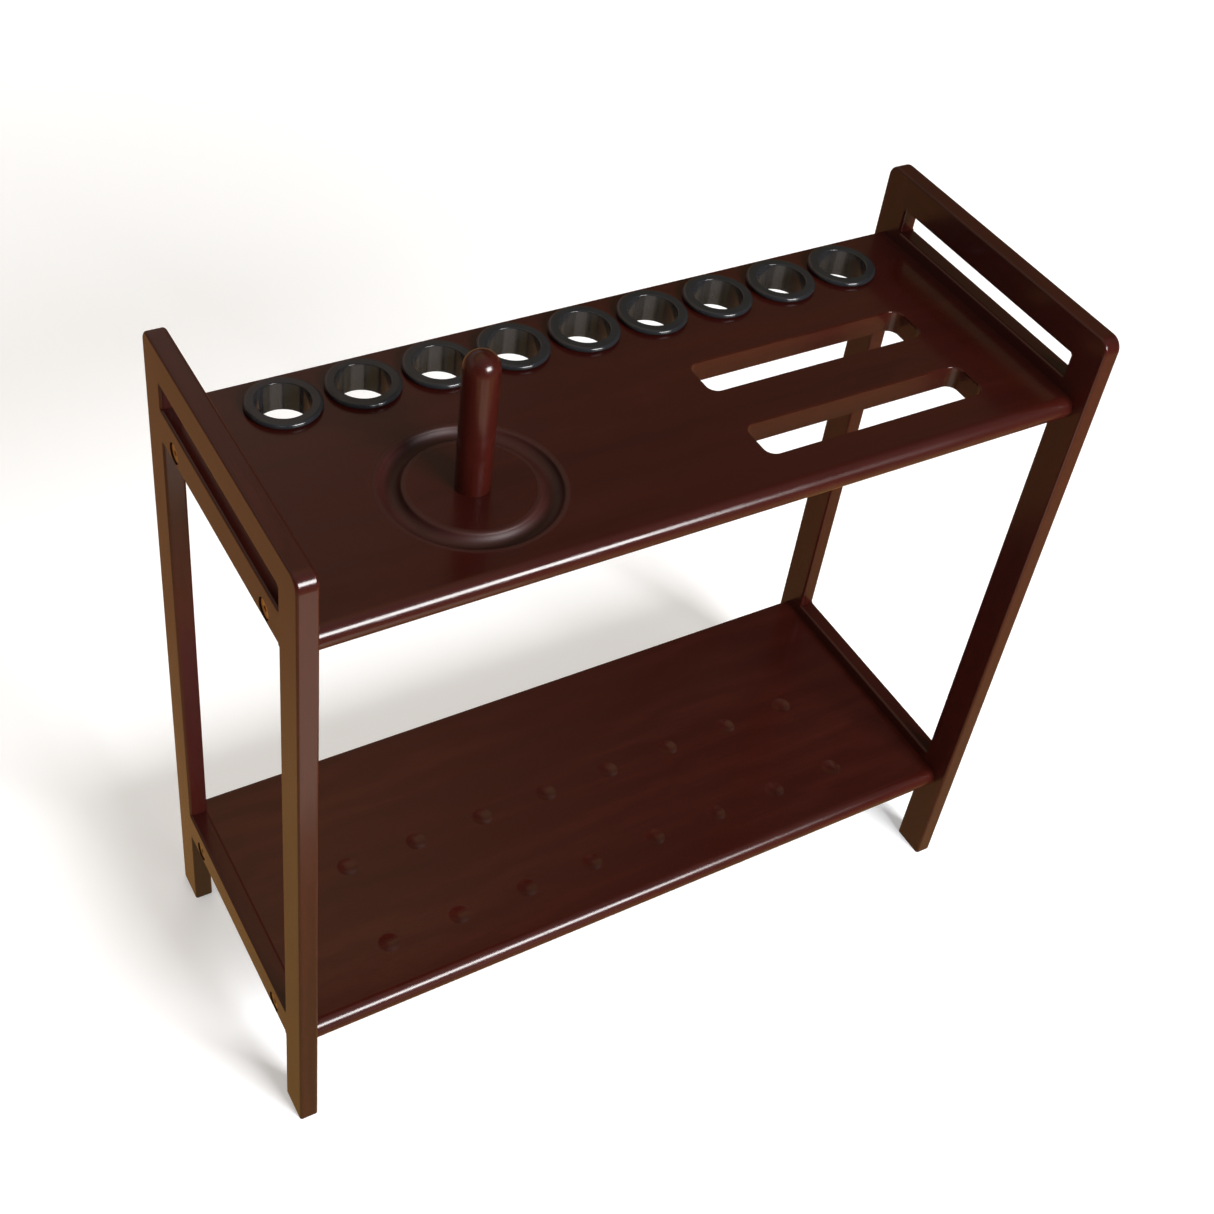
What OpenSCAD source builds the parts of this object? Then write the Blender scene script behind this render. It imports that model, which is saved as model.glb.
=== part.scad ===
// Floor-standing rack for nine pool cues and a set of balls.
// Two ladder-shaped side frames carry two identical-depth shelf boards. The top board holds the cues
// in nine grommets; the lower board carries the cue butts and two rows of balls.
// Millimetres. X is the width, the front faces -Y, and the floor is Z = 0.

/* [Overall] */
// Width over the two side frames
overall_w = 604; // [450:1:900]
// Depth of a side frame, front to back
overall_d = 250; // [200:1:400]
// Height of a side frame
overall_h = 565; // [400:1:900]

/* [Side frames] */
// Thickness of posts and rails, across the rack
stock_t = 14; // [12:0.5:22]
// Width of a post, front to back
post_w = 28; // [22:1:45]
// Height of the shelf rail and of the lower rail
rail_h = 28; // [22:1:45]
// Height of the top rail
top_rail_h = 27; // [20:1:45]
// Clear height of the hand slot under the top rail
hand_slot_h = 19.5; // [12:0.5:40]
// Height of the lower rail's underside above the floor
lower_rail_z = 81; // [40:1:160]
// Radius of the frame's top front and top back corners
corner_r = 10; // [4:1:20]
// Rounding along the frame's long edges
edge_r = 2; // [1:0.25:4]

/* [Shelves] */
// Thickness of both shelf boards
shelf_t = 18; // [15:1:25]
// Distance from the frame's front to the shelf's nose
shelf_front_inset = 10; // [5:1:30]
// Distance from the frame's back to the shelf's back edge
shelf_back_inset = 8; // [5:1:30]
// Rounding of the shelf's back edges
shelf_back_r = 3; // [1:0.5:6]

/* [Cue holes] */
// Number of cues
cue_count = 9; // [4:1:12]
// Distance between neighbouring cues
cue_pitch = 56.2; // [50:0.1:75]
// Distance from the frame's back to the row of cues
cue_row_from_back = 40.5; // [35:0.5:80]
// Clear bore of a grommet
grommet_bore_d = 37; // [30:0.5:45]
// Outside of the grommet's collar
collar_d = 42; // [36:0.5:50]
// Outside of the grommet's flange
flange_d = 52; // [46:0.5:60]
// Height of the flange above the shelf
flange_h = 4.4; // [2.5:0.1:6]
// Rounding of the flange's inner rim, around the bore
flange_in_r = 0.8; // [0.3:0.1:2]
// Radial gap between collar and shelf
collar_gap = 0.2; // [0.05:0.05:0.5]

/* [Rack slots] */
// Length of a slot for a triangle or diamond rack
slot_len = 184; // [120:1:260]
// Width of a slot
slot_w = 33; // [20:1:45]
// Corner radius of a slot
slot_r = 8; // [3:0.5:14]
// Rounding of a slot's upper and lower edges
slot_edge_r = 1; // [0.5:0.25:3]
// X of the slots' centre
slot_x = 141; // [60:1:180]
// Y of the front slot's centre
slot_front_y = -64.5; // [-80:0.5:-40]
// Y of the rear slot's centre
slot_rear_y = 7.5; // [-10:0.5:20]

/* [Chalk peg] */
// Diameter of the peg
peg_d = 23.7; // [18:0.1:32]
// Height of the peg above the shelf
peg_h = 104; // [60:1:140]
// X of the peg
peg_x = -146.3; // [-200:0.1:-60]
// Y of the peg
peg_y = -32.5; // [-60:0.5:0]
// Diameter of the level disc inside the powder groove
groove_in_d = 86.5; // [60:0.5:110]
// Outer diameter of the powder groove
groove_out_d = 120.8; // [90:0.1:150]
// Depth of the powder groove
groove_depth = 6; // [3:0.5:9]
// Rounding of the groove's two rims
groove_lip_r = 2.4; // [0.5:0.1:4]

/* [Ball seats] */
// Diameter of a pool ball
ball_d = 57.15; // [50:0.05:62]
// Balls in a row
balls_per_row = 8; // [5:1:10]
// Distance between neighbouring balls
ball_pitch = 59.2; // [58:0.1:70]
// Y of the front row and of the rear row
ball_front_y = -70; // [-90:0.5:-60]
ball_rear_y = 7.6; // [-5:0.1:20]
// Depth that a ball sinks into its seat
seat_depth = 1.2; // [0.5:0.1:3]

/* [Fixings] */
// Distance of each shelf bolt from the rack's mid-depth
bolt_off_y = 75; // [50:1:90]
// Bolt shank diameter and head diameter
bolt_d = 6; // [5:0.5:8]
bolt_head_d = 13; // [10:0.5:16]
// Bolt head thickness
bolt_head_h = 2; // [1:0.1:3]
// Across flats of the head's hexagon socket
bolt_socket = 4; // [3:0.5:6]
// Diameter and depth of the counterbore in the rail
cbore_d = 15; // [12:0.5:20]
cbore_depth = 3; // [2:0.5:5]
// Length of the bolt under its head
bolt_len = 46; // [35:1:60]
// Barrel nut diameter and length
nut_d = 10; // [8:0.5:12]
nut_len = 14; // [10:0.5:16]
// Distance from the shelf's end to the barrel nut's axis
nut_inset = 28; // [20:1:40]
// Diameter and length of a frame dowel
dowel_d = 6; // [5:0.5:8]
dowel_len = 24; // [18:1:32]
// Distance between the two dowels of a joint
dowel_gap = 13; // [10:0.5:16]

/* [Hidden] */
$fn = 96;
eps = 0.01;
fit = 0.05;                                   // radial gap around dowels and the peg screw
blend = 0.02;                                 // how far a rounding circle passes the face that it meets
inner_w = overall_w - 2 * stock_t;            // between the two side frames
half_d = overall_d / 2;
rail_len = overall_d - 2 * post_w;
top_rail_z = overall_h - top_rail_h;
shelf_rail_z = top_rail_z - hand_slot_h - rail_h;
shelf_d = overall_d - shelf_front_inset - shelf_back_inset;
shelf_front_y = -half_d + shelf_front_inset;
top_shelf_z = shelf_rail_z;                   // undersides sit level with the rails' undersides
lower_shelf_z = lower_rail_z;
shelf_zs = [lower_shelf_z, top_shelf_z];
cue_y = half_d - cue_row_from_back;
flange_r = flange_d / 2;
bore_r = grommet_bore_d / 2;
lip_r = flange_h / 2;                         // full rounding of the flange's outer rim
groove_mid_r = (groove_in_d + groove_out_d) / 4;
groove_half = (groove_out_d - groove_in_d) / 4;
groove_sum_r = (groove_half ^ 2 + groove_depth ^ 2) / (2 * groove_depth);
groove_cove_z = groove_sum_r - groove_lip_r - groove_depth;   // height of the cove's centre over the board
groove_meet = atan((groove_cove_z + groove_lip_r) / groove_half);   // where cove and rims touch, in degrees
screw_d = 4;
screw_head_d = 8;
screw_len = 40;
screw_head_h = (screw_head_d - screw_d) / 2;
wood = [0.30, 0.11, 0.08];
wood_light = [0.72, 0.55, 0.36];
black = [0.03, 0.03, 0.035];
brass = [0.72, 0.55, 0.25];
steel = [0.62, 0.62, 0.64];

function cue_x(i) = (i - (cue_count - 1) / 2) * cue_pitch;
function ball_x(i) = (i - (balls_per_row - 1) / 2) * ball_pitch;

// ---------- shared shapes ----------

// A flat rectangle with all four corners rounded, from its lower left corner
module rounded_rect(w, h, r) {
    translate([r, 0]) square([w - 2 * r, h]);
    translate([0, r]) square([w, h - 2 * r]);
    for (x = [r, w - r], y = [r, h - r]) translate([x, y]) circle(r);
}

// The strip that an edge rounding takes off, along Z, with the edge on the origin and wood towards +X +Y
module edge_strip(r, len) {
    linear_extrude(len) difference() {
        translate([-1, -1]) square(r + 1);
        translate([r, r]) circle(r);
    }
}

// One side frame's parts are drawn with the outer face on X = 0 and wood towards +X, front at -Y
module left_side() {
    translate([-overall_w / 2, 0, 0]) children();
}

module right_side() {
    mirror([1, 0, 0]) translate([-overall_w / 2, 0, 0]) children();
}

// ---------- side frame ----------

// Where the post is open to the window or the floor space, so its inside edges are rounded too
window_spans = [
    [0, lower_rail_z],
    [lower_rail_z + rail_h, shelf_rail_z],
    [shelf_rail_z + rail_h, top_rail_z]
];

// The rounded top corner: the post's section swept a quarter turn
module corner_sweep() {
    translate([0, -half_d + corner_r, overall_h - corner_r])
        rotate([0, 90, 0])
        rotate([0, 0, 180])
        rotate_extrude(angle = 90)
        difference() {
            square([corner_r, stock_t]);
            for (y = [0, stock_t]) translate([corner_r, y]) difference() {
                square(2 * edge_r, center = true);
                translate([-edge_r, y == 0 ? edge_r : -edge_r]) circle(edge_r);
            }
        }
}

// A rail-like bar along Y with all four long edges rounded
module rail_bar(len, h) {
    translate([0, len / 2, 0]) rotate([90, 0, 0]) linear_extrude(len) rounded_rect(stock_t, h, edge_r);
}

// The sockets for the two dowels of each rail joint, along Y
module dowel_pair(z, h, len, r) {
    for (s = [-1, 1])
        translate([stock_t / 2, 0, z + h / 2 + s * dowel_gap / 2])
            rotate([90, 0, 0]) cylinder(h = len, r = r, center = true);
}

module each_rail() {
    for (rail = [[lower_rail_z, rail_h], [shelf_rail_z, rail_h], [top_rail_z, top_rail_h]]) {
        $rail_z = rail[0];
        $rail_h = rail[1];
        children();
    }
}

// The front post of the left frame. The back post is its mirror image.
module post() {
    body_h = overall_h - corner_r;
    difference() {
        union() {
            translate([0, -half_d, 0]) cube([stock_t, post_w, body_h]);
            translate([0, -half_d + corner_r, body_h - eps]) difference() {
                cube([stock_t, post_w - corner_r, corner_r + eps]);
                for (m = [0, 1]) translate([m * stock_t, 0, corner_r + eps]) mirror([m, 0, 0])
                    rotate([-90, 0, 0]) translate([0, 0, -1]) edge_strip(edge_r, post_w);
            }
            corner_sweep();
        }
        // front edges, full height up to the corner sweep
        for (m = [0, 1]) translate([m * stock_t, -half_d, -1]) mirror([m, 0, 0])
            edge_strip(edge_r, body_h + 1);
        // inside edges, only where the post is open beside them
        for (span = window_spans, m = [0, 1])
            translate([m * stock_t, -half_d + post_w, span[0]]) mirror([m, 0, 0]) mirror([0, 1, 0])
                edge_strip(edge_r, span[1] - span[0]);
        each_rail() translate([0, -half_d + post_w, 0])
            dowel_pair($rail_z, $rail_h, dowel_len + 1, dowel_d / 2 + fit);
    }
}

module front_post() post();
module back_post() mirror([0, 1, 0]) post();

module plain_rail(z, h) {
    difference() {
        translate([0, 0, z]) rail_bar(rail_len, h);
        for (s = [-1, 1]) translate([0, s * rail_len / 2, 0])
            dowel_pair(z, h, dowel_len + 1, dowel_d / 2 + fit);
    }
}

// A rail that carries a shelf: two bolts pass through it, their heads sunk in counterbores
module shelf_rail(z) {
    difference() {
        plain_rail(z, rail_h);
        for (s = [-1, 1]) translate([0, s * bolt_off_y, z + shelf_t / 2]) rotate([0, 90, 0]) {
            translate([0, 0, -1]) cylinder(h = cbore_depth + 1, d = cbore_d);
            cylinder(h = stock_t + 1, d = bolt_d + 0.5);
        }
    }
}

module frame_dowels() {
    each_rail() for (s = [-1, 1]) translate([0, s * rail_len / 2, 0])
        dowel_pair($rail_z, $rail_h, dowel_len, dowel_d / 2);
}

// ---------- shelves ----------

// The board's section in Y and Z, extruded along X: bullnose in front, softened edges behind
module shelf_board() {
    nose_r = shelf_t / 2;
    translate([-inner_w / 2, shelf_front_y, 0]) rotate([90, 0, 90]) linear_extrude(inner_w) {
        translate([nose_r, nose_r]) circle(nose_r);
        translate([nose_r, 0]) square([shelf_d - nose_r - shelf_back_r, shelf_t]);
        translate([shelf_d - 4 * shelf_back_r, 0])
            rounded_rect(4 * shelf_back_r, shelf_t, shelf_back_r);
    }
}

// Holes for the bolts and barrel nuts in both ends of a board
module shelf_end_holes() {
    for (m = [0, 1], s = [-1, 1]) mirror([m, 0, 0]) translate([inner_w / 2, s * bolt_off_y, 0]) {
        translate([1, 0, shelf_t / 2]) rotate([0, -90, 0])
            cylinder(h = bolt_len - stock_t + cbore_depth + 4, d = bolt_d + 0.5);
        translate([-nut_inset, 0, -1]) cylinder(h = nut_len + 2.5, d = nut_d + 0.3);
    }
}

module rack_slot() {
    translate([-slot_len / 2, -slot_w / 2, -1]) linear_extrude(shelf_t + 2)
        rounded_rect(slot_len, slot_w, slot_r);
}

// Rounding of a slot's upper edge: what it takes off the board, along the straight sides and the corners
module slot_edge_profile() {
    difference() {
        translate([-0.5, -slot_edge_r]) square(slot_edge_r + 0.5);
        translate([slot_edge_r - blend, blend - slot_edge_r]) circle(slot_edge_r);
    }
}

module slot_edge() {
    run_x = slot_len - 2 * slot_r;
    run_y = slot_w - 2 * slot_r;
    for (side = [[0, slot_w / 2, run_x], [90, slot_len / 2, run_y],
                 [180, slot_w / 2, run_x], [270, slot_len / 2, run_y]])
        rotate([0, 0, side[0]]) translate([side[2] / 2, side[1], 0])
            rotate([90, 0, -90]) linear_extrude(side[2]) slot_edge_profile();
    for (q = [0 : 3], a = [0 : 1]) if (a == q % 2)
        rotate([0, 0, 180 * floor(q / 2)]) mirror([a, 0, 0])
            translate([run_x / 2, run_y / 2, 0])
                rotate_extrude(angle = 90) translate([slot_r, 0]) slot_edge_profile();
}

// Points along an arc in short equal steps
function arc(x, z, r, from, to, steps) =
    [for (i = [0 : steps]) let (a = from + (to - from) * i / steps) [x + r * cos(a), z + r * sin(a)]];

// The groove's section: a cove that runs smoothly into two rounded rims, and shallow ramps above the board
module powder_groove() {
    ramp = 5;
    lead = 0.5;
    lead_x = groove_half - groove_lip_r * sin(ramp) + (lead + groove_lip_r * (1 - cos(ramp))) / tan(ramp);
    translate([peg_x, peg_y, shelf_t]) rotate_extrude() translate([groove_mid_r, 0]) polygon(concat(
        [[lead_x, lead]],
        arc(groove_half, -groove_lip_r, groove_lip_r, 90 + ramp, 180 - groove_meet, 6),
        arc(0, groove_cove_z, groove_sum_r - groove_lip_r, -groove_meet - 3, groove_meet - 177, 21),
        arc(-groove_half, -groove_lip_r, groove_lip_r, groove_meet, 90 - ramp, 6),
        [[-lead_x, lead]]
    ));
}

module top_shelf() {
    color(wood) translate([0, 0, top_shelf_z]) difference() {
        shelf_board();
        shelf_end_holes();
        for (i = [0 : cue_count - 1]) translate([cue_x(i), cue_y, -1])
            cylinder(h = shelf_t + 2, d = collar_d + 2 * collar_gap);
        for (y = [slot_front_y, slot_rear_y]) translate([slot_x, y, 0]) {
            rack_slot();
            translate([0, 0, shelf_t]) slot_edge();
            mirror([0, 0, 1]) slot_edge();
        }
        powder_groove();
        translate([peg_x, peg_y, -1]) cylinder(h = shelf_t + 2, d = screw_d + 2 * fit);
        translate([peg_x, peg_y, -eps])
            cylinder(h = screw_head_h + eps, d1 = screw_head_d + 2 * fit, d2 = screw_d + 2 * fit);
    }
}

module lower_shelf() {
    color(wood) translate([0, 0, lower_shelf_z]) difference() {
        shelf_board();
        shelf_end_holes();
        for (y = [ball_front_y, ball_rear_y], i = [0 : balls_per_row - 1])
            translate([ball_x(i), y, shelf_t - seat_depth + ball_d / 2]) rotate([90, 0, 0]) sphere(d = ball_d);
    }
}

// ---------- fittings ----------

// Grommet i, from the left: a flat flange with a rounded outer rim, and a collar through the board
module cue_grommet(i) {
    color(black) translate([cue_x(i - 1), cue_y, top_shelf_z + shelf_t]) rotate_extrude() {
        translate([flange_r - lip_r, lip_r]) circle(lip_r);
        translate([bore_r + flange_in_r, flange_h - flange_in_r]) circle(flange_in_r);
        translate([bore_r + flange_in_r, 0]) square([flange_r - bore_r - flange_in_r - lip_r, flange_h]);
        translate([bore_r, -shelf_t]) square([collar_d / 2 - bore_r, shelf_t + flange_h - flange_in_r]);
    }
}

module chalk_peg() {
    dome_r = peg_d / 2;
    color(wood) translate([peg_x, peg_y, top_shelf_z + shelf_t]) difference() {
        union() {
            cylinder(h = peg_h - dome_r, r = dome_r);
            translate([0, 0, peg_h - dome_r]) sphere(dome_r);
        }
        translate([0, 0, -1]) cylinder(h = screw_len - shelf_t + 3, d = screw_d + 2 * fit);
    }
}

module peg_screw() {
    color(steel) translate([peg_x, peg_y, top_shelf_z + 0.2]) difference() {
        union() {
            cylinder(h = screw_head_h, d1 = screw_head_d, d2 = screw_d);
            cylinder(h = screw_len, d = screw_d);
        }
        for (a = [0, 90]) rotate([0, 0, a])
            translate([-screw_head_d / 4, -0.4, -1]) cube([screw_head_d / 2, 0.8, 2.1]);
    }
}

// Every shelf bolt position, with +X pointing into the rack
module each_bolt() {
    for (m = [0, 1], s = [-1, 1], z = shelf_zs) mirror([m, 0, 0])
        translate([-overall_w / 2, s * bolt_off_y, z + shelf_t / 2]) children();
}

module shelf_bolts() {
    color(brass) each_bolt() translate([cbore_depth, 0, 0]) rotate([0, 90, 0]) difference() {
        union() {
            translate([0, 0, -bolt_head_h]) cylinder(h = bolt_head_h, d = bolt_head_d);
            cylinder(h = bolt_len, d = bolt_d);
        }
        translate([0, 0, -bolt_head_h - 1])
            cylinder(h = 2.6, d = bolt_socket / cos(30), $fn = 6);
    }
}

module barrel_nuts() {
    color(steel) each_bolt() translate([stock_t + nut_inset, 0, -shelf_t / 2 + 1]) difference() {
        cylinder(h = nut_len, d = nut_d);
        translate([0, 0, shelf_t / 2 - 1]) rotate([0, 90, 0])
            cylinder(h = nut_d + 2, d = bolt_d + 2 * fit, center = true);
    }
}

// ---------- side frames in place ----------

module left_front_post() { color(wood) left_side() front_post(); }
module left_back_post() { color(wood) left_side() back_post(); }
module left_top_rail() { color(wood) left_side() plain_rail(top_rail_z, top_rail_h); }
module left_shelf_rail() { color(wood) left_side() shelf_rail(shelf_rail_z); }
module left_lower_rail() { color(wood) left_side() shelf_rail(lower_rail_z); }
module right_front_post() { color(wood) right_side() front_post(); }
module right_back_post() { color(wood) right_side() back_post(); }
module right_top_rail() { color(wood) right_side() plain_rail(top_rail_z, top_rail_h); }
module right_shelf_rail() { color(wood) right_side() shelf_rail(shelf_rail_z); }
module right_lower_rail() { color(wood) right_side() shelf_rail(lower_rail_z); }
module left_frame_dowels() { color(wood_light) left_side() frame_dowels(); }
module right_frame_dowels() { color(wood_light) right_side() frame_dowels(); }

left_front_post();
left_back_post();
left_top_rail();
left_shelf_rail();
left_lower_rail();
right_front_post();
right_back_post();
right_top_rail();
right_shelf_rail();
right_lower_rail();
top_shelf();
lower_shelf();
cue_grommet(1);  // cue_grommet_1
cue_grommet(2);  // cue_grommet_2
cue_grommet(3);  // cue_grommet_3
cue_grommet(4);  // cue_grommet_4
cue_grommet(5);  // cue_grommet_5
cue_grommet(6);  // cue_grommet_6
cue_grommet(7);  // cue_grommet_7
cue_grommet(8);  // cue_grommet_8
cue_grommet(9);  // cue_grommet_9
chalk_peg();
peg_screw();
shelf_bolts();
barrel_nuts();
left_frame_dowels();
right_frame_dowels();
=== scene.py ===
"""Looks of the floor-standing cue rack: materials, floor, room, lights and camera."""
import math

import bmesh
import bpy
from mathutils import Matrix, Vector


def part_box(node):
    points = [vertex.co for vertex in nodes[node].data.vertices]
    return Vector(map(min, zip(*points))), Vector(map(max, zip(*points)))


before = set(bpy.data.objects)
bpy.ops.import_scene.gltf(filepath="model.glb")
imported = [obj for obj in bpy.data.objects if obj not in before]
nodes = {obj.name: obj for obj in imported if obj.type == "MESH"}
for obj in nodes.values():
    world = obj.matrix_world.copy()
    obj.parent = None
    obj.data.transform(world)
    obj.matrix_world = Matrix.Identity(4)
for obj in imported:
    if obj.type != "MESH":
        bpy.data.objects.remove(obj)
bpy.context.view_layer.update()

# ---------------------------------------------------------------- colours (linear)
STAIN_DARK = (0.0185, 0.0026, 0.0018, 1)
STAIN_MID = (0.0262, 0.0038, 0.0025, 1)
STAIN_LIGHT = (0.0365, 0.0058, 0.0037, 1)
STAIN_WORN = (0.110, 0.024, 0.013, 1)
BEECH_DARK = (0.42, 0.26, 0.13, 1)
BEECH_LIGHT = (0.62, 0.44, 0.26, 1)
PLASTIC_DARK = (0.0085, 0.0095, 0.0112, 1)
PLASTIC_LIGHT = (0.017, 0.018, 0.021, 1)
BRASS_DARK = (0.60, 0.40, 0.17, 1)
BRASS_LIGHT = (0.90, 0.68, 0.36, 1)
ZINC_DARK = (0.42, 0.43, 0.46, 1)
ZINC_LIGHT = (0.66, 0.66, 0.68, 1)
FLOOR_COLOUR = (0.835, 0.86, 0.885, 1)
BACKDROP_COLOUR = (1.0, 1.0, 1.0, 1)

# ---------------------------------------------------------------- finish
LACQUER_ROUGHNESS = 0.17
ROUTED_DULLING = 0.34            # added to the roughness where a cutter has crossed the grain
WORN_EDGE = 0.0008               # metres of worn lacquer on each side of an edge
WEAR = 0.40                      # how far the worn stain replaces the rest
GROOVE_RADIUS = 0.0518           # the middle of the ring groove around the peg
GROOVE_HALF_WIDTH = 0.0112       # its lips included

# ---------------------------------------------------------------- stage
FLOOR_HALF_SIZE = 14.0
GLOW_FROM, GLOW_TO = 0.7, 3.2    # metres from the rack's middle
GLOW_NEAR, GLOW_FAR = 0.34, 1.02
LIGHTS_TARGET = Vector((0, 0, 0.3))
PATCH_PLACE = (-0.165, -0.59, 0.002)

CAMERA_PLACE = (-0.5589, -0.7562, 1.2320)
CAMERA_TURN = (35.419, 42.283, -8.553)    # yaw to the right, pitch down, roll, in degrees
CAMERA_SENSOR = 36.0                      # mm
CAMERA_FOCAL = 1.4433                     # in sensor widths
CAMERA_SHIFT = (0.0074, -0.0552)
CAMERA_CLIP = (0.05, 60.0)


# ---------------------------------------------------------------- shader helpers
class Shader:
    """One material's node tree, with short calls for the nodes that the finishes share.
    Texture scales are in cycles per metre."""

    def __init__(self, name):
        self.material = bpy.data.materials.new(name)
        self.material.use_nodes = True
        self.tree = self.material.node_tree
        self.tree.nodes.clear()
        self.out = self.add("ShaderNodeOutputMaterial")
        self.bsdf = self.add("ShaderNodeBsdfPrincipled")
        self.link(self.bsdf.outputs["BSDF"], self.out.inputs["Surface"])

    def add(self, kind, **props):
        node = self.tree.nodes.new(kind)
        for key, value in props.items():
            setattr(node, key, value)
        return node

    def link(self, a, b):
        self.tree.links.new(a, b)

    def put(self, node, **inputs):
        """Sets sockets by name: a node output is linked, anything else is a value."""
        for key, value in inputs.items():
            socket = node.inputs[key.replace("_", " ")]
            if isinstance(value, bpy.types.NodeSocket):
                self.link(value, socket)
            else:
                socket.default_value = value
        return node

    def coords(self):
        return self.add("ShaderNodeTexCoord").outputs["Object"]

    def mapping(self, vector, location=(0, 0, 0), rotation=(0, 0, 0), scale=(1, 1, 1)):
        node = self.add("ShaderNodeMapping")
        self.put(node, Vector=vector, Location=location, Rotation=rotation, Scale=scale)
        return node.outputs["Vector"]

    def noise(self, vector, scale, detail=4.0, roughness=0.55, distortion=0.0):
        node = self.add("ShaderNodeTexNoise")
        self.put(node, Vector=vector, Scale=scale, Detail=detail,
                 Roughness=roughness, Distortion=distortion)
        return node.outputs["Fac"]

    def ramp(self, value, low, high, to_low=0.0, to_high=1.0):
        node = self.add("ShaderNodeMapRange", interpolation_type="SMOOTHSTEP")
        self.put(node, Value=value, From_Min=low, From_Max=high, To_Min=to_low, To_Max=to_high)
        return node.outputs["Result"]

    def math(self, operation, a, b):
        node = self.add("ShaderNodeMath", operation=operation)
        for socket, value in zip(node.inputs, (a, b)):
            if isinstance(value, bpy.types.NodeSocket):
                self.link(value, socket)
            else:
                socket.default_value = value
        return node.outputs["Value"]

    def mix(self, factor, a, b):
        node = self.add("ShaderNodeMix", data_type="RGBA")
        for socket, value in zip((node.inputs[0], node.inputs[6], node.inputs[7]), (factor, a, b)):
            if isinstance(value, bpy.types.NodeSocket):
                self.link(value, socket)
            else:
                socket.default_value = value
        return node.outputs[2]

    def bump(self, height, strength, distance):
        node = self.add("ShaderNodeBump")
        self.put(node, Height=height, Strength=strength, Distance=distance)
        self.link(node.outputs["Normal"], self.bsdf.inputs["Normal"])
        return node

    def edges(self, radius):
        """About 1 on sharp edges and 0 on flat areas."""
        bevel = self.add("ShaderNodeBevel", samples=4)
        bevel.inputs["Radius"].default_value = radius
        geometry = self.add("ShaderNodeNewGeometry")
        dot = self.add("ShaderNodeVectorMath", operation="DOT_PRODUCT")
        self.link(bevel.outputs["Normal"], dot.inputs[0])
        self.link(geometry.outputs["Normal"], dot.inputs[1])
        return self.ramp(dot.outputs["Value"], 0.995, 0.80, 0.0, 1.0)


GRAIN_ROTATION = {
    "X": (0, 0, 0),
    "Y": (0, 0, math.radians(90)),
    "Z": (0, math.radians(90), 0),
}


def stained_wood(name, grain, seed, tone, routed=None):
    """Dark red-brown stain under satin-gloss lacquer, with the grain along one axis of the piece.
    The seed moves the pattern, so that no two pieces share it, and a higher tone is lighter.
    Routed is the centre, mean radius and half width of a ring where cut grain dulls the lacquer,
    above the centre's height."""
    s = Shader(name)
    shift = (0.37 * seed, 0.11 * seed, 0.23 * seed)
    along = s.mapping(s.coords(), shift, GRAIN_ROTATION[grain])

    # Figure, fibres, pores and growth bands, each stretched along the grain
    figure = s.noise(s.mapping(along, scale=(1.6, 17, 17)), 1.0, 5, 0.6, 0.5)
    fibre = s.noise(s.mapping(along, scale=(10, 520, 520)), 1.0, 3, 0.65)
    pores = s.noise(s.mapping(along, scale=(75, 2100, 2100)), 1.0, 1, 0.5)
    wave = s.add("ShaderNodeTexWave", wave_type="RINGS", rings_direction="X", wave_profile="SIN")
    s.put(wave, Vector=s.mapping(along, (0, 0.05, -0.03), scale=(0.35, 1, 1)), Scale=26.0,
          Distortion=5.0, Detail=2.0, Detail_Scale=1.4, Detail_Roughness=0.6)
    bands = wave.outputs["Fac"]

    # How much stain the wood has taken, then its colour
    banded = s.math("ADD", s.math("MULTIPLY", bands, 0.12), s.math("MULTIPLY", fibre, 0.33))
    stain = s.math("ADD", s.math("MULTIPLY", figure, 0.55), banded)
    light = s.ramp(stain, 0.52 - tone, 0.78 - tone)
    dark = s.ramp(stain, 0.50 - tone, 0.26 - tone)
    colour = s.mix(light, STAIN_MID, STAIN_LIGHT)
    colour = s.mix(dark, colour, STAIN_DARK)
    pits = s.ramp(pores, 0.60, 0.74)
    colour = s.mix(s.math("MULTIPLY", pits, 0.55), colour, STAIN_DARK)
    scuffs = s.ramp(s.noise(along, 38.0, 4, 0.7), 0.50, 0.78)
    worn = s.math("MULTIPLY", s.edges(WORN_EDGE), scuffs)
    colour = s.mix(s.math("MULTIPLY", worn, WEAR), colour, STAIN_WORN)
    s.link(colour, s.bsdf.inputs["Base Color"])

    # Lacquer: rubbed patches, a duller routed ring, and a faint uneven skin over the fibres
    smears = s.noise(s.mapping(along, scale=(6, 14, 14)), 1.0, 3, 0.6)
    rough = s.ramp(smears, 0.25, 0.75, LACQUER_ROUGHNESS - 0.035, LACQUER_ROUGHNESS + 0.07)
    if routed:
        (x, y, z), ring, half = routed
        place = s.add("ShaderNodeSeparateXYZ")
        s.link(s.coords(), place.inputs[0])
        above = s.math("GREATER_THAN", place.outputs["Z"], z)
        from_axis = s.add("ShaderNodeVectorMath", operation="LENGTH")
        s.link(s.mapping(s.coords(), (-x, -y, 0), scale=(1, 1, 0)), from_axis.inputs[0])
        off = s.math("ABSOLUTE", s.math("SUBTRACT", from_axis.outputs["Value"], ring), 0.0)
        ring_mask = s.ramp(off, half, half * 0.8, 0.0, ROUTED_DULLING)
        dulled = s.math("MULTIPLY", above, ring_mask)
        rough = s.math("ADD", rough, dulled)
    s.link(rough, s.bsdf.inputs["Roughness"])
    peel = s.noise(along, 420.0, 2, 0.5)
    grain_relief = s.math("SUBTRACT", s.math("MULTIPLY", fibre, 0.25),
                          s.math("MULTIPLY", pits, 0.5))
    s.bump(s.math("ADD", s.math("MULTIPLY", peel, 0.45), grain_relief), 0.20, 0.00012)
    return s.material


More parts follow.
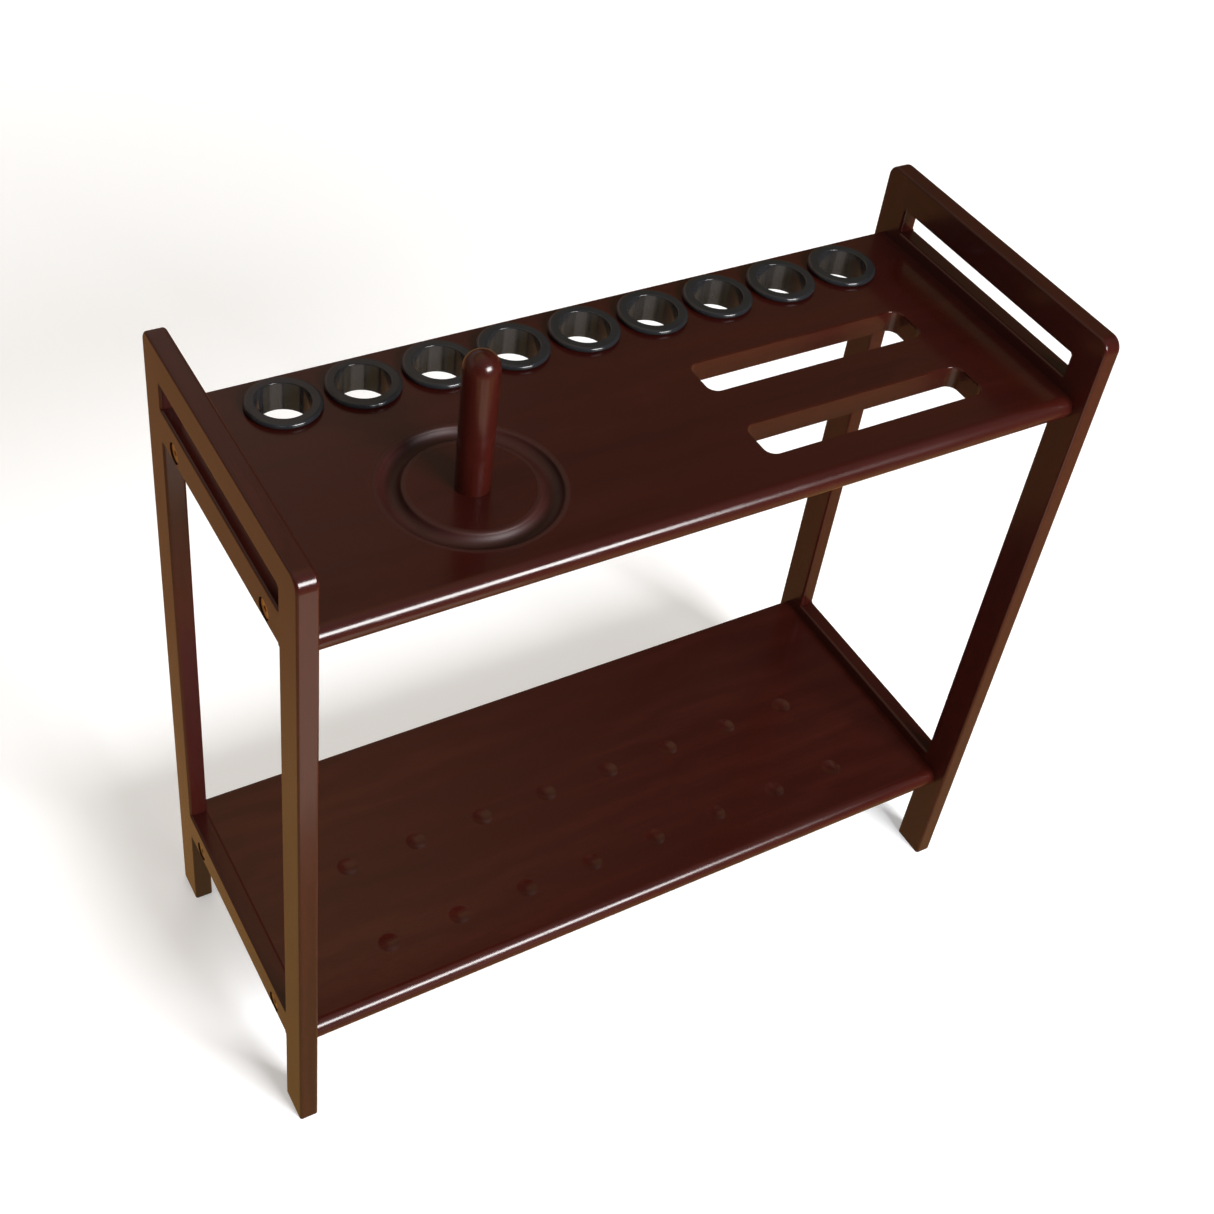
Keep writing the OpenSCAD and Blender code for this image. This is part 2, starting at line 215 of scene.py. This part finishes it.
def bare_wood(name):
    """Unfinished light wood, for the dowels hidden in the joints."""
    s = Shader(name)
    along = s.mapping(s.coords(), rotation=GRAIN_ROTATION["Y"])
    fibre = s.noise(s.mapping(along, scale=(14, 380, 380)), 1.0, 4, 0.6)
    s.link(s.mix(fibre, BEECH_DARK, BEECH_LIGHT), s.bsdf.inputs["Base Color"])
    s.link(s.ramp(fibre, 0.2, 0.8, 0.55, 0.75), s.bsdf.inputs["Roughness"])
    s.bump(fibre, 0.3, 0.0002)
    return s.material


def black_plastic(name):
    """Glossy moulded plastic with faint handling marks."""
    s = Shader(name)
    where = s.coords()
    cloud = s.noise(where, 90.0, 3, 0.6)
    s.link(s.mix(cloud, PLASTIC_DARK, PLASTIC_LIGHT), s.bsdf.inputs["Base Color"])
    scuff = s.noise(where, 320.0, 4, 0.7, 1.5)
    s.link(s.ramp(scuff, 0.35, 0.8, 0.13, 0.24), s.bsdf.inputs["Roughness"])
    s.bump(s.noise(where, 1100.0, 2, 0.5), 0.05, 0.00004)
    return s.material


def plated_metal(name, dark, light, low, high):
    """Plated fastener metal: turned marks, slight tarnish in the low spots."""
    s = Shader(name)
    where = s.coords()
    tarnish = s.noise(where, 260.0, 4, 0.65)
    s.link(s.mix(s.ramp(tarnish, 0.3, 0.7), dark, light), s.bsdf.inputs["Base Color"])
    s.bsdf.inputs["Metallic"].default_value = 1.0
    s.link(s.ramp(tarnish, 0.3, 0.8, high, low), s.bsdf.inputs["Roughness"])
    s.bump(s.noise(s.mapping(where, scale=(300, 2600, 2600)), 1.0, 2, 0.5), 0.12, 0.00004)
    return s.material


# ---------------------------------------------------------------- finishes on the CAD nodes
def dress(node, material):
    """Gives a CAD node one material, in every slot that it has."""
    for slot in nodes[node].material_slots:
        slot.material = material


GRAIN_OF = {"post": "Z", "rail": "Y", "shelf": "X", "peg": "Z"}    # by the end of the node's name
TONE_OF = {"chalk_peg": -0.03, "lower_shelf": 0.10}
wood_nodes = [n for n in sorted(nodes)
              if n.endswith(("_post", "_rail")) or n in ("top_shelf", "lower_shelf", "chalk_peg")]
peg_lo, peg_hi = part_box("chalk_peg")
shelf_lo, shelf_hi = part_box("top_shelf")
peg_axis, shelf_middle = (peg_lo + peg_hi) / 2, (shelf_lo + shelf_hi) / 2
groove_centre = (peg_axis.x, peg_axis.y, shelf_middle.z)
top_groove = (groove_centre, GROOVE_RADIUS, GROOVE_HALF_WIDTH)
for seed, node in enumerate(wood_nodes):
    grain = GRAIN_OF[node.rsplit("_", 1)[1]]
    tone = TONE_OF.get(node, 0.006 * math.sin(2.4 * seed))
    routed = top_groove if node == "top_shelf" else None
    dress(node, stained_wood("stained_wood_" + node, grain, seed, tone, routed=routed))

plastic = black_plastic("black_plastic")
for node in sorted(nodes):
    if node.startswith("cue_grommet"):
        dress(node, plastic)
brass = plated_metal("brass_fitting", BRASS_DARK, BRASS_LIGHT, 0.22, 0.42)
zinc = plated_metal("zinc_steel", ZINC_DARK, ZINC_LIGHT, 0.28, 0.48)
beech = bare_wood("bare_wood")
dress("shelf_bolts", brass)
dress("peg_screw", zinc)
dress("barrel_nuts", zinc)
dress("left_frame_dowels", beech)
dress("right_frame_dowels", beech)

# ---------------------------------------------------------------- floor
floor_mesh = bpy.data.meshes.new("floor")
build = bmesh.new()
bmesh.ops.create_grid(build, x_segments=1, y_segments=1, size=FLOOR_HALF_SIZE)
build.to_mesh(floor_mesh)
build.free()
floor = bpy.data.objects.new("floor", floor_mesh)
bpy.context.scene.collection.objects.link(floor)
floor.visible_glossy = False    # the lacquer mirrors the room's floor colours below instead
paint = Shader("floor_paint")
paint.put(paint.bsdf, Base_Color=FLOOR_COLOUR, Roughness=0.9)
paint.bsdf.inputs["Specular IOR Level"].default_value = 0.1
paint.bsdf.inputs["Emission Color"].default_value = FLOOR_COLOUR
# The glow grows away from the rack, so that the floor stays pale beyond the lights' reach
reach = paint.add("ShaderNodeVectorMath", operation="LENGTH")
paint.link(paint.coords(), reach.inputs[0])
glow = paint.ramp(reach.outputs["Value"], GLOW_FROM, GLOW_TO, GLOW_NEAR, GLOW_FAR)
paint.link(glow, paint.bsdf.inputs["Emission Strength"])
floor_mesh.materials.append(paint.material)

# ---------------------------------------------------------------- world: a soft room
# What the lacquer mirrors. Each list runs from straight down (0) through the horizon (0.5) to
# straight up (1).
ROOM_FRONT = [
    (0.00, (0.36, 0.26, 0.10)),
    (0.07, (0.38, 0.28, 0.11)),
    (0.13, (0.44, 0.32, 0.14)),
    (0.20, (0.42, 0.28, 0.11)),
    (0.275, (0.32, 0.20, 0.09)),
    (0.375, (0.15, 0.10, 0.06)),
    (0.50, (0.06, 0.05, 0.04)),
    (0.70, (0.05, 0.045, 0.04)),
    (1.00, (0.30, 0.29, 0.28)),
]
ROOM_BACK = [
    (0.00, (0.34, 0.18, 0.05)),
    (0.07, (0.35, 0.19, 0.06)),
    (0.115, (0.46, 0.245, 0.09)),
    (0.145, (0.36, 0.175, 0.07)),
    (0.40, (0.32, 0.155, 0.065)),
    (0.50, (0.12, 0.08, 0.05)),
    (0.62, (0.06, 0.05, 0.03)),
    (0.76, (0.13, 0.11, 0.06)),
    (0.80, (0.15, 0.13, 0.08)),
    (0.84, (0.05, 0.045, 0.035)),
    (0.90, (0.07, 0.06, 0.05)),
    (1.00, (0.30, 0.28, 0.24)),
]
ROOM_LEFT = [
    (0.00, (0.34, 0.18, 0.05)),
    (0.07, (0.35, 0.19, 0.06)),
    (0.115, (0.46, 0.245, 0.09)),
    (0.145, (0.36, 0.175, 0.07)),
    (0.40, (0.32, 0.155, 0.065)),
    (0.50, (0.14, 0.09, 0.06)),
    (0.72, (0.46, 0.34, 0.30)),
    (0.79, (0.62, 0.45, 0.39)),
    (0.825, (0.40, 0.30, 0.22)),
    (0.86, (0.27, 0.21, 0.12)),
    (0.94, (0.55, 0.42, 0.24)),
    (1.00, (0.50, 0.42, 0.30)),
]
world = bpy.data.worlds.new("room")
bpy.context.scene.world = world
world.use_nodes = True
tree = world.node_tree
tree.nodes.clear()
w_out = tree.nodes.new("ShaderNodeOutputWorld")
w_bg = tree.nodes.new("ShaderNodeBackground")
w_xyz = tree.nodes.new("ShaderNodeSeparateXYZ")
w_co = tree.nodes.new("ShaderNodeTexCoord")
tree.links.new(w_co.outputs["Generated"], w_xyz.inputs[0])


def direction_range(axis, low, high):
    """The share of the way that a direction has gone from low to high along one axis. The whole
    range from -1 to 1 is even, and a shorter one is eased at both ends."""
    node = tree.nodes.new("ShaderNodeMapRange")
    node.interpolation_type = "SMOOTHSTEP" if high - low < 2 else "LINEAR"
    tree.links.new(w_xyz.outputs[axis], node.inputs["Value"])
    node.inputs["From Min"].default_value = low
    node.inputs["From Max"].default_value = high
    return node.outputs["Result"]


def room_colours(stops_wanted):
    """One list of room colours, looked up by how steep a direction is."""
    ramp = tree.nodes.new("ShaderNodeValToRGB")
    stops = ramp.color_ramp.elements
    while len(stops) < len(stops_wanted):
        stops.new(0.5)
    for stop, (place, colour) in zip(stops, stops_wanted):
        stop.position = place
        stop.color = (*colour, 1)
    tree.links.new(steepness, ramp.inputs["Fac"])
    return ramp.outputs["Color"]


def room_mix(share, first, second):
    """Blends from the first colour to the second as the share rises."""
    node = tree.nodes.new("ShaderNodeMix")
    node.data_type = "RGBA"
    sockets = (node.inputs[0], node.inputs[6], node.inputs[7])
    for socket, source in zip(sockets, (share, first, second)):
        tree.links.new(source, socket)
    return node.outputs[2]


steepness = direction_range("Z", -1.0, 1.0)
behind = room_mix(direction_range("X", 0.22, 0.46),
                  room_colours(ROOM_LEFT), room_colours(ROOM_BACK))
room = room_mix(direction_range("Y", -0.25, 0.20), room_colours(ROOM_FRONT), behind)
tree.links.new(room, w_bg.inputs["Color"])

# The camera itself sees a plain pale backdrop beyond the floor
backdrop = tree.nodes.new("ShaderNodeBackground")
backdrop.inputs["Color"].default_value = BACKDROP_COLOUR
ray = tree.nodes.new("ShaderNodeLightPath")
seen = tree.nodes.new("ShaderNodeMixShader")
tree.links.new(ray.outputs["Is Camera Ray"], seen.inputs[0])
tree.links.new(w_bg.outputs["Background"], seen.inputs[1])
tree.links.new(backdrop.outputs["Background"], seen.inputs[2])
tree.links.new(seen.outputs["Shader"], w_out.inputs["Surface"])


# ---------------------------------------------------------------- lights
def soft_light(name, azimuth, elevation, distance, width, height, power, colour, mirrored=False):
    """An area light facing the rack's middle. Azimuth 0 is the front, positive towards the right.
    Only a mirrored light shows as a highlight; the others just fill in."""
    a, e = math.radians(azimuth), math.radians(elevation)
    away = Vector((math.sin(a) * math.cos(e), -math.cos(a) * math.cos(e), math.sin(e)))
    data = bpy.data.lights.new(name, "AREA")
    data.shape = "RECTANGLE"
    data.size, data.size_y = width, height
    data.energy = power
    data.color = colour
    lamp = bpy.data.objects.new(name, data)
    lamp.location = LIGHTS_TARGET + away * distance
    lamp.rotation_euler = (-away).to_track_quat("-Z", "Y").to_euler()
    lamp.visible_glossy = mirrored
    bpy.context.scene.collection.objects.link(lamp)
    return lamp


soft_light("window", azimuth=15.0, elevation=28.6, distance=2.6, width=1.20, height=0.84,
           power=82, colour=(1.0, 0.99, 0.99), mirrored=True)
soft_light("window_glow", azimuth=15.0, elevation=28.0, distance=2.62, width=1.20, height=1.12,
           power=27, colour=(1.0, 0.99, 0.99))
soft_light("ceiling", azimuth=0, elevation=80, distance=2.3, width=1.8, height=1.8,
           power=4, colour=(1.0, 0.98, 0.96))
soft_light("front_fill", azimuth=14, elevation=6, distance=2.6, width=1.6, height=1.0,
           power=40, colour=(1.0, 0.92, 0.84))
soft_light("left_fill", azimuth=-95, elevation=12, distance=2.6, width=1.6, height=1.4,
           power=14, colour=(1.0, 0.86, 0.70))
soft_light("back_fill", azimuth=165, elevation=35, distance=3.0, width=2.0, height=1.4,
           power=16, colour=(1.0, 0.97, 0.94))

# The patch of bright floor in front of the rack that the lacquer mirrors: it lies flat, facing up
patch = soft_light("bright_floor", azimuth=0, elevation=90, distance=1.0, width=0.57, height=0.42,
                   power=0.50, colour=(1.0, 0.88, 0.82), mirrored=True)
patch.location = PATCH_PLACE
patch.rotation_euler = (math.pi, 0, 0)
patch.visible_camera = patch.visible_diffuse = False

# ---------------------------------------------------------------- camera
camera_data = bpy.data.cameras.new("camera")
camera = bpy.data.objects.new("camera", camera_data)
bpy.context.scene.collection.objects.link(camera)
bpy.context.scene.camera = camera
yaw, pitch, roll = (math.radians(turn) for turn in CAMERA_TURN)
forward = Vector((math.sin(yaw) * math.cos(pitch),
                  math.cos(yaw) * math.cos(pitch),
                  -math.sin(pitch)))
level_right = Vector((math.cos(yaw), -math.sin(yaw), 0))
level_down = forward.cross(level_right)
cam_right = level_right * math.cos(roll) + level_down * math.sin(roll)
cam_down = level_down * math.cos(roll) - level_right * math.sin(roll)
turned = Matrix((cam_right, -cam_down, -forward)).transposed().to_4x4()
camera.matrix_world = Matrix.Translation(CAMERA_PLACE) @ turned
camera_data.sensor_fit = "HORIZONTAL"
camera_data.sensor_width = CAMERA_SENSOR
camera_data.lens = CAMERA_FOCAL * CAMERA_SENSOR
camera_data.shift_x, camera_data.shift_y = CAMERA_SHIFT
camera_data.clip_start, camera_data.clip_end = CAMERA_CLIP

bpy.context.scene.view_settings.view_transform = "Standard"
